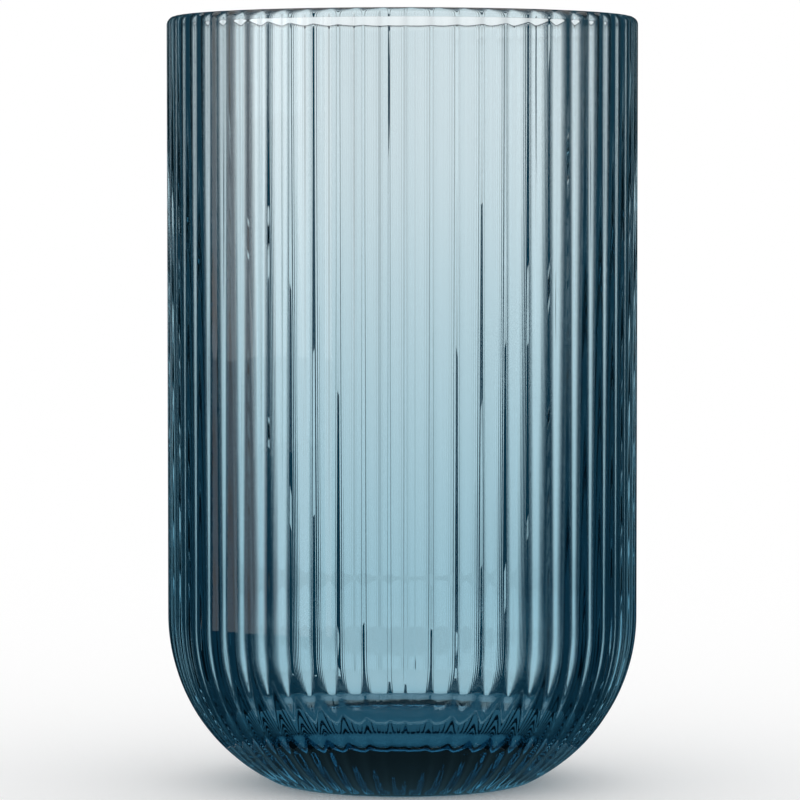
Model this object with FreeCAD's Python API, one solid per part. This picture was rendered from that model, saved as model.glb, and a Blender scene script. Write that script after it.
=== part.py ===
"""Ribbed glass vase: one piece of pressed glass, written as four zones that meet face to face.

Units are millimetres. +Z is up, the origin is the centre of the resting face,
and the crest of one rib lies on the +X axis.
"""
import FreeCAD, Part

import math
import os

# Driving dimensions of the whole vase.
HEIGHT = 150.0
CREST_RADIUS = 46.05
HEEL_RADIUS = 36.2
HEEL_HEIGHT = 33.0

# The glass: a full-round lip, a wall that stays upright at first and then thickens
# downwards at a steady angle, a round inner corner and a thick, slightly dished floor.
LIP_THICKNESS = 3.2
TAPER_TOP_HEIGHT = 100.0
WALL_TAPER_ANGLE = 4.0
INNER_CORNER_RADIUS = 15.0
FLOOR_HEIGHT = 13.0
FLOOR_DISH_DEPTH = 1.0

# Ribs that run the full height: a narrow convex crest and a wide hollow between crests.
# CREST_SHARE is the part of the pitch, and of the depth, that belongs to the crest.
RIB_COUNT = 60
RIB_DEPTH = 0.36
CREST_SHARE = 0.32
RIB_FADE_HEIGHT = 1.2
RIM_BAND_HEIGHT = 5.0

# The underside: a flat ring to stand on around a shallow push-up.
STAND_RING_WIDTH = 5.0
PUSH_UP_HEIGHT = 0.8

# Sections that carry the ribs round the heel.
HEEL_SECTIONS = 7
FOOT_SECTIONS = 9

LIP_RADIUS = LIP_THICKNESS / 2
SHOULDER_HEIGHT = HEIGHT - LIP_RADIUS
RIM_BAND_BOTTOM = HEIGHT - RIM_BAND_HEIGHT
INNER_TOP_RADIUS = CREST_RADIUS - LIP_THICKNESS
CORNER_HEIGHT = FLOOR_HEIGHT + INNER_CORNER_RADIUS
SECTOR = 2 * math.pi / RIB_COUNT
TAPER = math.radians(WALL_TAPER_ANGLE)

# The inside of the wall curves from upright at the lip to the taper angle.
WALL_CURVE_RADIUS = (SHOULDER_HEIGHT - TAPER_TOP_HEIGHT) / math.sin(TAPER)
TAPER_TOP_RADIUS = INNER_TOP_RADIUS - WALL_CURVE_RADIUS * (1 - math.cos(TAPER))
TAPER_INSET = (TAPER_TOP_HEIGHT - CORNER_HEIGHT) * math.sin(TAPER) + INNER_CORNER_RADIUS
FLOOR_RADIUS = TAPER_TOP_RADIUS - TAPER_INSET / math.cos(TAPER)

AXIS = FreeCAD.Vector(0, 0, 1)
CENTRE = FreeCAD.Vector(0, 0, 0)


def point(radius, height, angle=0.0):
    """A point given by its distance from the axis, its height and its angle round the axis."""
    return FreeCAD.Vector(radius * math.cos(angle), radius * math.sin(angle), height)


def line(start, end):
    return Part.LineSegment(start, end).toShape()


def arc(start, middle, end):
    return Part.Arc(start, middle, end).toShape()


def on_circle(centre_radius, centre_height, radius, angle):
    """A point of a circle drawn in the XZ plane, by its angle above the outward direction."""
    height = centre_height + radius * math.sin(angle)
    return point(centre_radius + radius * math.cos(angle), height)


def revolved(edges):
    """Turn a closed outline in the XZ plane round the Z axis into a solid."""
    outline = Part.Face(Part.Wire(edges))
    return outline.revolve(CENTRE, AXIS, 360)


def heel_crest_radius(height):
    """Radius of the rib crests: straight wall above the heel, a quarter-round curve below it."""
    if height >= HEEL_HEIGHT:
        return CREST_RADIUS
    drop = HEEL_HEIGHT - height
    return CREST_RADIUS - HEEL_RADIUS + math.sqrt(HEEL_RADIUS**2 - drop**2)


def rib_depth(height):
    """Groove depth: it narrows with the pitch round the heel and fades to nothing at the foot."""
    fade = min(1.0, height / RIB_FADE_HEIGHT)
    return RIB_DEPTH * fade * heel_crest_radius(height) / CREST_RADIUS


def ribbed_wire(height):
    """A closed ring of waves: a convex crest arc for each rib, then the hollow to the next."""
    crest = heel_crest_radius(height)
    depth = rib_depth(height)
    flank = crest - depth * CREST_SHARE
    groove = crest - depth
    half_crest = CREST_SHARE * SECTOR / 2
    edges = []
    for rib in range(RIB_COUNT):
        angle = rib * SECTOR
        before = point(flank, height, angle - half_crest)
        after = point(flank, height, angle + half_crest)
        following = point(flank, height, angle + SECTOR - half_crest)
        edges.append(arc(before, point(crest, height, angle), after))
        edges.append(arc(after, point(groove, height, angle + SECTOR / 2), following))
    return Part.Wire(edges)


def ribbed_prism(bottom, top):
    """The straight ribbed outside between two heights above the heel, filled solid."""
    face = Part.Face(ribbed_wire(bottom))
    return face.extrude(FreeCAD.Vector(0, 0, top - bottom))


def ribbed_curve(bottom, top, sections):
    """The curved ribbed outside between two heights on the heel, filled solid."""
    steep = math.asin((HEEL_HEIGHT - top) / HEEL_RADIUS)
    shallow = math.asin((HEEL_HEIGHT - bottom) / HEEL_RADIUS)
    wires = []
    for index in range(sections):
        slope = steep + (shallow - steep) * index / (sections - 1)
        height = HEEL_HEIGHT - HEEL_RADIUS * math.sin(slope)
        wires.append(ribbed_wire(height))
    return Part.makeLoft(wires, True, False)


def cavity():
    """The space inside: dished floor, round corner, tapered wall and upright curve to the mouth."""
    dish_radius = (FLOOR_RADIUS**2 + FLOOR_DISH_DEPTH**2) / (2 * FLOOR_DISH_DEPTH)
    dish_centre = FLOOR_HEIGHT - FLOOR_DISH_DEPTH + dish_radius
    half_way = FLOOR_RADIUS / 2
    floor_centre = point(0, FLOOR_HEIGHT - FLOOR_DISH_DEPTH)
    floor_middle = point(half_way, dish_centre - math.sqrt(dish_radius**2 - half_way**2))
    floor_edge = point(FLOOR_RADIUS, FLOOR_HEIGHT)
    corner_middle = on_circle(FLOOR_RADIUS, CORNER_HEIGHT, INNER_CORNER_RADIUS, -math.pi / 4)
    corner_top = on_circle(FLOOR_RADIUS, CORNER_HEIGHT, INNER_CORNER_RADIUS, -TAPER)
    taper_top = point(TAPER_TOP_RADIUS, TAPER_TOP_HEIGHT)
    curve_centre = INNER_TOP_RADIUS - WALL_CURVE_RADIUS
    curve_middle = on_circle(curve_centre, SHOULDER_HEIGHT, WALL_CURVE_RADIUS, -TAPER / 2)
    mouth = point(INNER_TOP_RADIUS, SHOULDER_HEIGHT)
    above = point(INNER_TOP_RADIUS, HEIGHT + 1)
    above_centre = point(0, HEIGHT + 1)
    return revolved([
        arc(floor_centre, floor_middle, floor_edge),
        arc(floor_edge, corner_middle, corner_top),
        line(corner_top, taper_top),
        arc(taper_top, curve_middle, mouth),
        line(mouth, above),
        line(above, above_centre),
        line(above_centre, floor_centre),
    ])


def lip_envelope():
    """The plain solid that rounds off the top: wider than the ribs below, full-round at the lip."""
    ridge = CREST_RADIUS - LIP_RADIUS
    bottom = RIM_BAND_BOTTOM - 1
    floor_centre = point(0, bottom)
    floor_edge = point(CREST_RADIUS + 1, bottom)
    shoulder_outer = point(CREST_RADIUS, SHOULDER_HEIGHT)
    lip_middle_outer = on_circle(ridge, SHOULDER_HEIGHT, LIP_RADIUS, math.pi / 4)
    ridge_top = point(ridge, HEIGHT)
    lip_middle_inner = on_circle(ridge, SHOULDER_HEIGHT, LIP_RADIUS, 3 * math.pi / 4)
    shoulder_inner = point(INNER_TOP_RADIUS, SHOULDER_HEIGHT)
    top_centre = point(0, SHOULDER_HEIGHT)
    return revolved([
        line(floor_centre, floor_edge),
        line(floor_edge, shoulder_outer),
        arc(shoulder_outer, lip_middle_outer, ridge_top),
        arc(ridge_top, lip_middle_inner, shoulder_inner),
        line(shoulder_inner, top_centre),
        line(top_centre, floor_centre),
    ])


def push_up():
    """The shallow dome under the base, inside the ring that the vase stands on."""
    recess_radius = heel_crest_radius(0) - STAND_RING_WIDTH
    sphere_radius = (recess_radius**2 + PUSH_UP_HEIGHT**2) / (2 * PUSH_UP_HEIGHT)
    return Part.makeSphere(sphere_radius, FreeCAD.Vector(0, 0, PUSH_UP_HEIGHT - sphere_radius))


def make_rim():
    """Top zone: the ribs run up and die out on the outer rounding of the lip."""
    ribs = ribbed_prism(RIM_BAND_BOTTOM, HEIGHT + 1)
    blank = ribs.common(lip_envelope())
    return blank.cut(cavity())


def make_ribbed_wall():
    """Middle zone: the straight wall, ribbed outside and tapered inside."""
    return ribbed_prism(HEEL_HEIGHT, RIM_BAND_BOTTOM).cut(cavity())


def make_heel():
    """Lower zone: the ribs turn in round the heel, and the inner corner runs down to the floor."""
    return ribbed_curve(FLOOR_HEIGHT, HEEL_HEIGHT, HEEL_SECTIONS).cut(cavity())


def make_base():
    """Bottom zone: the thick floor, down to the ring that the vase stands on."""
    blank = ribbed_curve(0.0, FLOOR_HEIGHT, FOOT_SECTIONS)
    return blank.cut(push_up()).cut(cavity())


def main():
    os.makedirs("parts", exist_ok=True)
    zones = {
        "rim": make_rim(),
        "ribbed_wall": make_ribbed_wall(),
        "heel": make_heel(),
        "base": make_base(),
    }
    for name, shape in zones.items():
        shape.exportStep("parts/" + name + ".step")


main()
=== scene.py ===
"""Ribbed teal glass vase on a plain pale floor, in soft studio light. Metres throughout."""
import math

import bpy
import numpy as np
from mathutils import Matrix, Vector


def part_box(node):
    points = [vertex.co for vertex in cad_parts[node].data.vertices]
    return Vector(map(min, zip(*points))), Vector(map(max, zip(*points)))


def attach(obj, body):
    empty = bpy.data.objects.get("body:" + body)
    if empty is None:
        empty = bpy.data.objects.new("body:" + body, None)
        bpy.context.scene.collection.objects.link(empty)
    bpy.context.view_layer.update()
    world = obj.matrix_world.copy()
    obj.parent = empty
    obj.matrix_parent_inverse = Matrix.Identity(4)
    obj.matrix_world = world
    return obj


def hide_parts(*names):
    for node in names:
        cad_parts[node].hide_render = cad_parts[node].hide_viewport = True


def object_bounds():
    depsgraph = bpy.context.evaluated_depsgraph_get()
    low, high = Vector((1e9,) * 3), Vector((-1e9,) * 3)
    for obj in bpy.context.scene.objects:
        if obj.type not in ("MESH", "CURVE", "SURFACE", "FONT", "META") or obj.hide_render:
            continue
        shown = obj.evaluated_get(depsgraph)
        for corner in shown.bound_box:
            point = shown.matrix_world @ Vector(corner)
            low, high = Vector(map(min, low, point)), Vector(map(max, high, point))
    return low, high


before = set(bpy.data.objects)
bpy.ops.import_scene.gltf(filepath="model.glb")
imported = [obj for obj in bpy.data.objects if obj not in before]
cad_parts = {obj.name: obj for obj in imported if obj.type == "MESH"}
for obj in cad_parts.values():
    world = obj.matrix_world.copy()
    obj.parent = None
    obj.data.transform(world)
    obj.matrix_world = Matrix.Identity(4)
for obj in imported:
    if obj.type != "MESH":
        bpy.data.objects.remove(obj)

# The whole vase, from the frame.
CAD_LOW, CAD_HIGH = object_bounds()
HEIGHT = CAD_HIGH.z
CREST_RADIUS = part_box("ribbed_wall")[1].x
HEEL_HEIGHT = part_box("ribbed_wall")[0].z
FLOOR_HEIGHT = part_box("base")[1].z

# The glass section; angles in degrees.
HEEL_RADIUS = 0.0362
LIP_RADIUS = 0.0016
WALL_TAPER_ANGLE = 4.0
TAPER_TOP_HEIGHT = 0.1000
INNER_CORNER_RADIUS = 0.0150
FLOOR_DISH_DEPTH = 0.0010
STAND_RING_WIDTH = 0.0050
PUSH_UP_HEIGHT = 0.0008
FOOT_ROUNDING = 0.0006

# Ribs.
RIB_COUNT = 60
RIB_DEPTH = 0.00036
CREST_SHARE = 0.32
COLUMNS_PER_RIB = 14
GROOVE_VARIATION = 0.045
GROOVE_SEED = 60

# Rings of the skin along each stretch of the section.
LIP_STEPS = 10
WALL_STEPS = 24
HEEL_STEPS = 38
STAND_RING_STEPS = 6
PUSH_UP_STEPS = 8
FLOOR_STEPS = 8
CORNER_STEPS = 24
TAPER_STEPS = 14
CURVE_STEPS = 12
INNER_LIP_STEPS = 8
CENTRE_RADIUS = 1e-5
SUPPORT_RING_DROP = 0.1

SHOULDER_HEIGHT = HEIGHT - LIP_RADIUS
INNER_TOP_RADIUS = CREST_RADIUS - 2 * LIP_RADIUS
CORNER_HEIGHT = FLOOR_HEIGHT + INNER_CORNER_RADIUS
SECTOR = 2 * math.pi / RIB_COUNT

# Glass: absorption per metre for red, green and blue. The density stays above the largest of them.
ABSORPTION = (57.0, 29.0, 20.0)
DENSITY_MARGIN = 1.02
GLASS_IOR = 1.52
WAVES_PER_METRE = 90.0
WAVE_STRETCH = 0.25
WAVE_DEPTH = 0.00006
POLISH_ROUGHNESS = 0.02

# Camera: distance and height in multiples of the vase's height, angles in degrees,
# shifts and focal length in widths of the frame.
CAMERA_DISTANCE = 5.69
CAMERA_HEIGHT = 0.759
CAMERA_PITCH = 2.9
CAMERA_TURN = -1.85
FOCAL_IN_WIDTHS = 5.4375
SHIFT_X = -0.0029
SHIFT_Y = 0.0285
SENSOR_WIDTH = 36.0
CLIP_START = 0.01

# Floor.
FLOOR_HALF_WIDTH = 6.0
FLOOR_DROP = 0.0001
FLOOR_SHADE = 0.9
FLOOR_GLOW = 0.1

# Studio cards. Angles in degrees, sideways from straight behind the vase or up from its foot.
BRIGHT_HALF_ANGLE = 15.2
BRIGHT_TOP = 6.3
BACKDROP_CENTRE = -3.0
BACKDROP_PEAK = 1.04
BACKDROP_FALL = 0.25
DARK_TOP = 40.0
# The dark cards glow faintly teal: painted teal light, standing in for light carried a long way
# through the glass.
DARK_CARD_PAINTED_LIGHT_COLOUR = (0.16, 0.66, 1.0)
DARK_CARD_GLOW = 0.07
DARK_FLOOR_START = 0.04
CARD_RADIUS = 2.5
CARD_STEPS = 36
FLOOR_CARD_DROP = 0.00004
NEAR_TABLE_DEPTH = 0.256
NEAR_TABLE_GLOW = 0.9
SIDE_LIGHT_SPAN = (-130, -94)
SIDE_LIGHT_GLOW = 1.9
SIDE_LIGHT_NEARNESS = 0.96
SIDE_FLOOR_START = 0.30
# A dim teal disc under the foot, seen only through the glass: painted shade under the vase, lit
# with painted teal light as if carried up through the thick base.
UNDER_VASE_PAINTED_LIGHT_COLOUR = (0.3, 0.75, 1.0)
UNDER_VASE_PAINTED_GLOW = 0.22
LIGHT_BOUNCES = 32


def arc(centre_r, centre_z, radius, start, end, steps):
    """Radius, height and normal of points along an arc of the section, angles in degrees."""
    rows = []
    for i in range(steps + 1):
        a = math.radians(start + (end - start) * i / steps)
        normal = (math.cos(a), math.sin(a))
        rows.append((centre_r + radius * normal[0], centre_z + radius * normal[1], *normal))
    return rows


def eased(start, end, normal, steps):
    """Points along a straight stretch, without its first.

    They crowd at both ends, so that the shading stays true next to a curve.
    """
    rows = []
    for i in range(1, steps + 1):
        t = (1 - math.cos(math.pi * i / steps)) / 2
        radius = start[0] + (end[0] - start[0]) * t
        height = start[1] + (end[1] - start[1]) * t
        rows.append((radius, height, *normal))
    return rows


def outer_rows():
    """The outside from the top of the lip to the foot: radius, height and normal of each ring."""
    lip = arc(CREST_RADIUS - LIP_RADIUS, SHOULDER_HEIGHT, LIP_RADIUS, 90, 0, LIP_STEPS)
    wall = eased((CREST_RADIUS, SHOULDER_HEIGHT), (CREST_RADIUS, HEEL_HEIGHT), (1, 0), WALL_STEPS)
    end_angle = math.degrees(math.asin((HEEL_HEIGHT - FOOT_ROUNDING * 0.5) / HEEL_RADIUS))
    heel = arc(CREST_RADIUS - HEEL_RADIUS, HEEL_HEIGHT, HEEL_RADIUS, 0, -end_angle, HEEL_STEPS)
    return lip + wall + heel[1:]


def foot_rows():
    """The smooth underside, from the foot's edge to its centre: a flat ring, then a push-up."""
    end_angle = math.asin(HEEL_HEIGHT / HEEL_RADIUS)
    foot_radius = CREST_RADIUS - HEEL_RADIUS + HEEL_RADIUS * math.cos(end_angle)
    ring_inner = foot_radius - STAND_RING_WIDTH
    ring_outer = foot_radius - FOOT_ROUNDING
    rows = [(ring_outer, 0.0, 0, -1)]
    rows += eased((ring_outer, 0.0), (ring_inner, 0.0), (0, -1), STAND_RING_STEPS)
    for i in range(1, PUSH_UP_STEPS + 1):
        radius = ring_inner * (1 - i / PUSH_UP_STEPS)
        height = PUSH_UP_HEIGHT * (1 - (radius / ring_inner) ** 2)
        rows.append((max(radius, CENTRE_RADIUS), height, 0, -1))
    return rows


def inner_rows():
    """The inside: dished floor, round corner, tapered wall, upright curve below the lip, lip."""
    slope = math.radians(WALL_TAPER_ANGLE)
    curve_radius = (SHOULDER_HEIGHT - TAPER_TOP_HEIGHT) / math.sin(slope)
    taper_top = INNER_TOP_RADIUS - curve_radius * (1 - math.cos(slope))
    drop = TAPER_TOP_HEIGHT - CORNER_HEIGHT
    flat_radius = taper_top - (drop * math.sin(slope) + INNER_CORNER_RADIUS) / math.cos(slope)
    floor = []
    for i in range(FLOOR_STEPS + 1):
        radius = max(flat_radius * i / FLOOR_STEPS, CENTRE_RADIUS)
        dish = FLOOR_DISH_DEPTH * (1 - (radius / flat_radius) ** 2)
        floor.append((radius, FLOOR_HEIGHT - dish, 0, 1))
    taper = -WALL_TAPER_ANGLE
    corner = arc(flat_radius, CORNER_HEIGHT, INNER_CORNER_RADIUS, -90, taper, CORNER_STEPS)
    wall = eased(corner[-1][:2], (taper_top, TAPER_TOP_HEIGHT), (-1, 0), TAPER_STEPS)
    curve_centre = INNER_TOP_RADIUS - curve_radius
    curve = arc(curve_centre, SHOULDER_HEIGHT, curve_radius, taper, 0, CURVE_STEPS)
    below_lip = [(INNER_TOP_RADIUS, SHOULDER_HEIGHT - LIP_RADIUS * SUPPORT_RING_DROP, -1, 0)]
    lip = arc(CREST_RADIUS - LIP_RADIUS, SHOULDER_HEIGHT, LIP_RADIUS, 180, 90, INNER_LIP_STEPS)
    return floor + corner[1:] + wall + curve[1:-1] + below_lip + lip[:-1]


def rib_columns():
    """Angle of each column round the vase, and how far it lies below the crest line there.

    A rib is a convex crest arc between two hollow ones, and the hollows vary a little in depth.
    """
    half_pitch = CREST_RADIUS * SECTOR / 2
    flank = 2 * RIB_DEPTH / half_pitch
    across = 2 * np.arange(COLUMNS_PER_RIB) / COLUMNS_PER_RIB - 1
    share = np.abs(across)
    crest = flank * share**2 / (2 * CREST_SHARE)
    flute = flank / 2 - flank * (1 - share) ** 2 / (2 * (1 - CREST_SHARE))
    drop = half_pitch * np.where(share < CREST_SHARE, crest, flute)
    spread = np.random.default_rng(GROOVE_SEED).uniform(-1, 1, RIB_COUNT)
    groove = 1 + GROOVE_VARIATION * spread
    right = (1 + across) / 2
    angles = []
    drops = []
    for k in range(RIB_COUNT):
        angles.append((k + across / 2) * SECTOR)
        drops.append(drop * (groove[k] * (1 - right) + groove[(k + 1) % RIB_COUNT] * right))
    return np.concatenate(angles), np.concatenate(drops)


def rib_strength(row):
    """1 on the wall; it fades on the lip and at the foot, and shrinks with the pitch."""
    radius, height, normal_r, normal_z = row
    lip = normal_r if normal_z > 0 else 1.0
    foot = min(1.0, height / (2 * FOOT_ROUNDING))
    return lip * foot * radius / CREST_RADIUS


def ring(row, angles, drop):
    """One ring of vertices; the ribs are cut back along the section's normal."""
    radius, height, normal_r, normal_z = row
    reach = radius - drop * normal_r
    z = height - drop * normal_z
    return np.stack([reach * np.cos(angles), reach * np.sin(angles), z], axis=1)


def strip(first, second):
    """Faces between two rings of vertex numbers, where one may have half as many as the other."""
    if len(first) == len(second):
        quads = [first, second, np.roll(second, -1), np.roll(first, -1)]
        return np.stack(quads, axis=1).tolist()
    if len(first) < len(second):
        return [face[::-1] for face in strip(second, first)]
    faces = []
    count = len(second)
    for k in range(count):
        a, b, c = first[2 * k], first[2 * k + 1], first[(2 * k + 2) % len(first)]
        p, q = second[k], second[(k + 1) % count]
        faces += [[a, p, b], [b, p, q], [b, q, c]]
    return faces


def build_vase():
    """The whole vase as one closed skin of glass."""
    angles, drop = rib_columns()
    plain = angles[::2]
    outside, foot, inside = outer_rows(), foot_rows(), inner_rows()
    rings = [ring(row, angles, drop * rib_strength(row)) for row in outside]
    rings += [ring(row, plain, 0 * plain) for row in foot + inside]
    starts = np.cumsum([0] + [len(r) for r in rings])
    numbers = [np.arange(starts[i], starts[i + 1]) for i in range(len(rings))]
    floor_centre = len(outside) + len(foot)
    faces = []
    for i in range(len(rings) - 1):
        if i + 1 != floor_centre:
            faces += strip(numbers[i], numbers[i + 1])
    faces += strip(numbers[-1], numbers[0])
    faces.append(numbers[floor_centre - 1].tolist()[::-1])
    faces.append(numbers[floor_centre].tolist())
    mesh = bpy.data.meshes.new("vase")
    mesh.from_pydata(np.concatenate(rings).tolist(), [], faces)
    mesh.validate()
    mesh.shade_smooth()
    vase = bpy.data.objects.new("vase", mesh)
    bpy.context.scene.collection.objects.link(vase)
    return vase


def add_surface_detail(tree, shader):
    """Pressed glass is never quite flat: slow upright waves, and a faint unevenness of polish."""
    place = tree.nodes.new("ShaderNodeTexCoord")
    stretch = tree.nodes.new("ShaderNodeMapping")
    stretch.inputs["Scale"].default_value = (1.0, 1.0, WAVE_STRETCH)
    tree.links.new(place.outputs["Object"], stretch.inputs["Vector"])
    waves = tree.nodes.new("ShaderNodeTexNoise")
    waves.inputs["Scale"].default_value = WAVES_PER_METRE
    waves.inputs["Detail"].default_value = 1.0
    tree.links.new(stretch.outputs["Vector"], waves.inputs["Vector"])
    bump = tree.nodes.new("ShaderNodeBump")
    bump.inputs["Strength"].default_value = 1.0
    bump.inputs["Distance"].default_value = WAVE_DEPTH
    tree.links.new(waves.outputs["Fac"], bump.inputs["Height"])
    tree.links.new(bump.outputs["Normal"], shader.inputs["Normal"])
    polish = tree.nodes.new("ShaderNodeMapRange")
    polish.inputs["To Min"].default_value = 0.0
    polish.inputs["To Max"].default_value = POLISH_ROUGHNESS
    tree.links.new(waves.outputs["Fac"], polish.inputs["Value"])
    tree.links.new(polish.outputs["Result"], shader.inputs["Roughness"])


def make_glass():
    """Clear teal glass, coloured by absorption through its thickness."""
    material = bpy.data.materials.new("blue_glass")
    material.use_nodes = True
    tree = material.node_tree
    shader = tree.nodes["Principled BSDF"]
    shader.inputs["Base Color"].default_value = (1, 1, 1, 1)
    shader.inputs["IOR"].default_value = GLASS_IOR
    shader.inputs["Transmission Weight"].default_value = 1.0
    add_surface_detail(tree, shader)
    volume = tree.nodes.new("ShaderNodeVolumeAbsorption")
    density = max(ABSORPTION) * DENSITY_MARGIN
    volume.inputs["Density"].default_value = density
    volume.inputs["Color"].default_value = [1 - a / density for a in ABSORPTION] + [1]
    tree.links.new(volume.outputs["Volume"], tree.nodes["Material Output"].inputs["Volume"])
    return material


def make_floor():
    """A plain pale floor, a hair below the foot."""
    mesh = bpy.data.meshes.new("floor")
    s = FLOOR_HALF_WIDTH
    mesh.from_pydata([(-s, -s, 0), (s, -s, 0), (s, s, 0), (-s, s, 0)], [], [(0, 1, 2, 3)])
    floor = bpy.data.objects.new("floor", mesh)
    bpy.context.scene.collection.objects.link(floor)
    floor.location.z = -FLOOR_DROP
    material = bpy.data.materials.new("pale_floor")
    material.use_nodes = True
    shader = material.node_tree.nodes["Principled BSDF"]
    shader.inputs["Base Color"].default_value = (FLOOR_SHADE, FLOOR_SHADE, FLOOR_SHADE, 1)
    shader.inputs["Roughness"].default_value = 1.0
    shader.inputs["Specular IOR Level"].default_value = 0.0
    shader.inputs["Emission Color"].default_value = (1, 1, 1, 1)
    shader.inputs["Emission Strength"].default_value = FLOOR_GLOW
    mesh.materials.append(material)


def make_camera():
    """A long lens almost level with the vase, a little to the left of straight on."""
    camera = bpy.data.objects.new("camera", bpy.data.cameras.new("camera"))
    bpy.context.scene.collection.objects.link(camera)
    turn = math.radians(CAMERA_TURN)
    distance = CAMERA_DISTANCE * HEIGHT
    camera.location.x = distance * math.sin(turn)
    camera.location.y = -distance * math.cos(turn)
    camera.location.z = CAMERA_HEIGHT * HEIGHT
    camera.rotation_euler = (math.radians(90 - CAMERA_PITCH), 0, turn)
    camera.data.sensor_width = SENSOR_WIDTH
    camera.data.lens = SENSOR_WIDTH * FOCAL_IN_WIDTHS
    camera.data.shift_x = SHIFT_X
    camera.data.shift_y = SHIFT_Y
    camera.data.clip_start = CLIP_START
    bpy.context.scene.camera = camera


def make_world():
    """Plain white light from all round."""
    world = bpy.data.worlds.new("studio")
    world.use_nodes = True
    background = world.node_tree.nodes["Background"]
    background.inputs["Color"].default_value = (1, 1, 1, 1)
    background.inputs["Strength"].default_value = 1.0
    bpy.context.scene.world = world


def glow(name, colour, strength):
    """A flat emitting surface, for studio cards."""
    material = bpy.data.materials.new(name)
    material.use_nodes = True
    tree = material.node_tree
    tree.nodes.remove(tree.nodes["Principled BSDF"])
    light = tree.nodes.new("ShaderNodeEmission")
    light.inputs["Color"].default_value = (*colour, 1)
    light.inputs["Strength"].default_value = strength
    tree.links.new(light.outputs["Emission"], tree.nodes["Material Output"].inputs["Surface"])
    return material


def backdrop_glow():
    """The bright back: fades towards both sides, brightest a little to the left of the vase."""
    material = glow("backdrop", (1, 1, 1), 1.0)
    tree = material.node_tree
    place = tree.nodes.new("ShaderNodeTexCoord")
    split = tree.nodes.new("ShaderNodeSeparateXYZ")
    tree.links.new(place.outputs["Object"], split.inputs["Vector"])

    def maths(operation, first, second):
        node = tree.nodes.new("ShaderNodeMath")
        node.operation = operation
        for value, socket in zip((first, second), node.inputs):
            if isinstance(value, float):
                socket.default_value = value
            else:
                tree.links.new(value, socket)
        return node.outputs["Value"]

    angle = maths("ARCTAN2", split.outputs["X"], split.outputs["Y"])
    off_centre = maths("SUBTRACT", angle, math.radians(BACKDROP_CENTRE))
    share = maths("DIVIDE", off_centre, math.radians(BRIGHT_HALF_ANGLE))
    fall = maths("MULTIPLY", maths("MULTIPLY", share, share), -BACKDROP_FALL)
    strength = maths("ADD", fall, BACKDROP_PEAK)
    tree.links.new(strength, tree.nodes["Emission"].inputs["Strength"])
    return material


def make_rig():
    """What the studio cards hang on: fixed, and square to the camera's direction."""
    rig = bpy.data.objects.new("rig", None)
    bpy.context.scene.collection.objects.link(rig)
    rig.rotation_euler.z = math.radians(CAMERA_TURN)
    return rig


def card(name, points, faces, material, rig):
    """A studio card that the glass sees and the camera does not."""
    mesh = bpy.data.meshes.new(name)
    mesh.from_pydata(points, [], faces)
    mesh.materials.append(material)
    obj = bpy.data.objects.new(name, mesh)
    bpy.context.scene.collection.objects.link(obj)
    obj.parent = rig
    obj.visible_camera = False
    obj.visible_diffuse = False
    obj.visible_shadow = False


def bent_card(name, start, end, edges, material, rig):
    """A card swept round the vase, from straight behind it towards the right.

    Each of its two edges is given by radius and height.
    """
    points = []
    for i in range(CARD_STEPS + 1):
        a = math.radians(start + (end - start) * i / CARD_STEPS)
        points += [(radius * math.sin(a), radius * math.cos(a), z) for radius, z in edges]
    faces = [(2 * i, 2 * i + 2, 2 * i + 3, 2 * i + 1) for i in range(CARD_STEPS)]
    card(name, points, faces, material, rig)


def curved_card(name, start, end, low, high, radius, material, rig):
    """An upright card bent round the vase."""
    bent_card(name, start, end, [(radius, low), (radius, high)], material, rig)


def floor_card(name, start, end, inner, outer, material, rig):
    """A flat ring sector just above the floor."""
    edges = [(inner, -FLOOR_CARD_DROP), (outer, -FLOOR_CARD_DROP)]
    bent_card(name, start, end, edges, material, rig)


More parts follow.
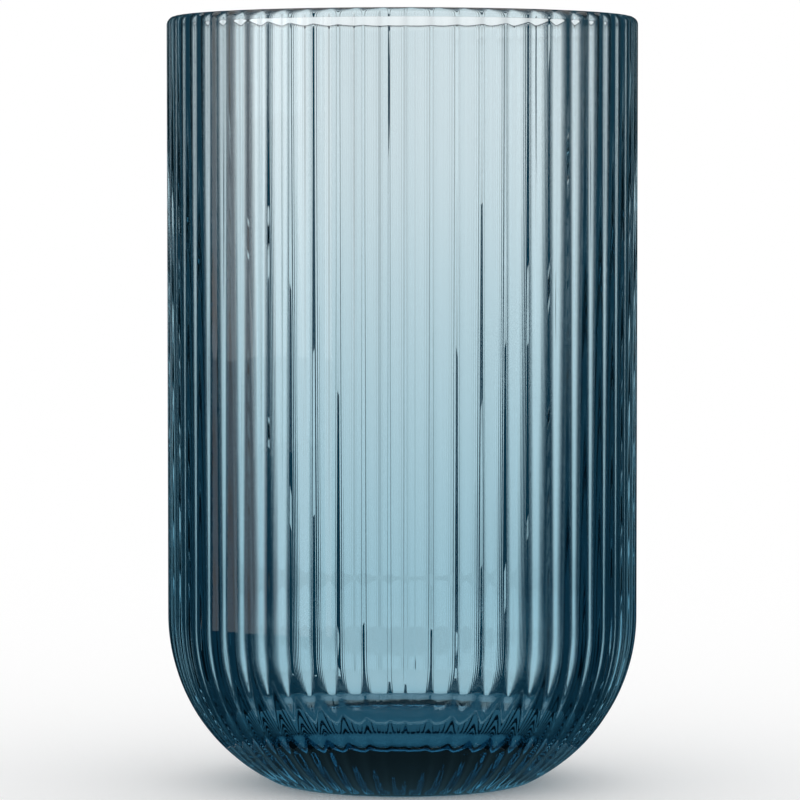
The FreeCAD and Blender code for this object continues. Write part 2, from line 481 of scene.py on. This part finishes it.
def make_cards(rig):
    """A bright back between dark cards, which give the ribs their dark edges; the cards' faint
    teal glow is painted teal light in the ribs' dark bands.
    """
    # Dark cards with a faint teal glow: painted teal light for the dark bands in the glass.
    dark_with_painted_teal_glow = glow("dark_card_painted_teal_light", DARK_CARD_PAINTED_LIGHT_COLOUR, DARK_CARD_GLOW)
    soft = glow("soft_light", (1, 1, 1), SIDE_LIGHT_GLOW)
    dim = glow("near_table", (1, 1, 1), NEAR_TABLE_GLOW)
    edge = BRIGHT_HALF_ANGLE
    side_start, side_end = SIDE_LIGHT_SPAN
    low, high = [CARD_RADIUS * math.tan(math.radians(a)) for a in (BRIGHT_TOP, DARK_TOP)]
    curved_card("dark_surround", edge, 360 - edge, 0, high, CARD_RADIUS, dark_with_painted_teal_glow, rig)
    curved_card("dark_above_background", -edge, edge, low, high, CARD_RADIUS, dark_with_painted_teal_glow, rig)
    bright = backdrop_glow()
    curved_card("backdrop", -edge, edge, 0, low, CARD_RADIUS, bright, rig)
    floor_card("bright_floor", -edge, edge, NEAR_TABLE_DEPTH, CARD_RADIUS, bright, rig)
    start = DARK_FLOOR_START
    floor_card("dark_floor_right", edge, 360 + side_start, start, CARD_RADIUS, dark_with_painted_teal_glow, rig)
    floor_card("dark_floor_left", side_end, -edge, start, CARD_RADIUS, dark_with_painted_teal_glow, rig)
    floor_card("dark_floor_side", side_start, side_end, start, SIDE_FLOOR_START, dark_with_painted_teal_glow, rig)
    side_radius = CARD_RADIUS * SIDE_LIGHT_NEARNESS
    curved_card("side_light", side_start, side_end, 0, high, side_radius, soft, rig)
    # Painted shade and painted teal light under the foot: a dim teal disc that only the glass
    # sees.
    painted_foot_glow = glow("under_vase_painted_shade_and_glow", UNDER_VASE_PAINTED_LIGHT_COLOUR, UNDER_VASE_PAINTED_GLOW)
    floor_card("under_vase_painted_shade_and_glow", 0, 360, 0.0, start, painted_foot_glow, rig)
    floor_card("near_table", -edge, edge, start, NEAR_TABLE_DEPTH, dim, rig)


vase = build_vase()
vase.data.materials.append(make_glass())
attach(vase, "root")
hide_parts("rim", "ribbed_wall", "heel", "base")
make_floor()
make_camera()
make_world()
make_cards(make_rig())
scene = bpy.context.scene
scene.view_settings.view_transform = "Standard"
scene.cycles.max_bounces = LIGHT_BOUNCES
scene.cycles.transmission_bounces = LIGHT_BOUNCES
